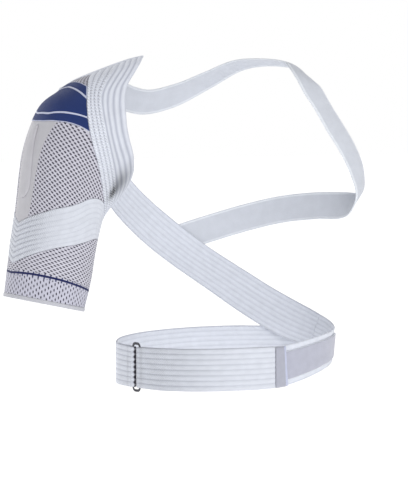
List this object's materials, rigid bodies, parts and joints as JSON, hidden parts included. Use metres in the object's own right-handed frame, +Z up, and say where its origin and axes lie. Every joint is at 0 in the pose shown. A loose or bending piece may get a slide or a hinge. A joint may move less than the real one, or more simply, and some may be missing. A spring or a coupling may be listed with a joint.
{
  "type": "shoulder brace",
  "caption": "Knitted arm sleeve with a ribbed armhole band, a strap down the back to a ring-buckled waist belt and a narrow strap over the other shoulder.",
  "frame": {"origin": "seat on the wearer's right shoulder, on the inner face of the armhole band at its highest point", "axes": "+Z up, +X towards the wearer's left, -Y the way the wearer looks"},
  "size_m": [0.5023, 0.2616, 0.4067],
  "materials": {
    "ribbed_band": "woven, ribbed, matt",
    "mesh_knit": "open knit, matt",
    "navy_knit": "fine knit, matt",
    "trim": "knitted edge, matt",
    "plain_knit": "fine knit, matt",
    "strap_webbing": "woven, matt",
    "loop_fabric": "brushed loops, matt",
    "tab_fabric": "woven, matt",
    "ring_metal": "dark, satin"
  },
  "bodies": {
    "root": {"collar_band": "ribbed_band", "gore_knit": "mesh_knit", "cap_upper": "navy_knit", "cap_stripe_upper": "trim", "cap_middle": "navy_knit", "cap_stripe_lower": "trim", "cap_lower": "navy_knit", "mesh_front": "mesh_knit", "mesh_back": "mesh_knit", "side_panel": "plain_knit", "side_pad": "plain_knit", "arm_band": "ribbed_band", "lower_knit": "mesh_knit", "blue_line": "navy_knit", "cuff_knit": "mesh_knit", "hem": "trim", "belt": "ribbed_band", "buckle_strap": "ribbed_band", "back_strap": "ribbed_band", "shoulder_strap": "strap_webbing", "buckle_ring": "ring_metal", "landing_patch": "loop_fabric", "end_tab": "tab_fabric", "tab_edge": "trim"}
  },
  "joints": []
}
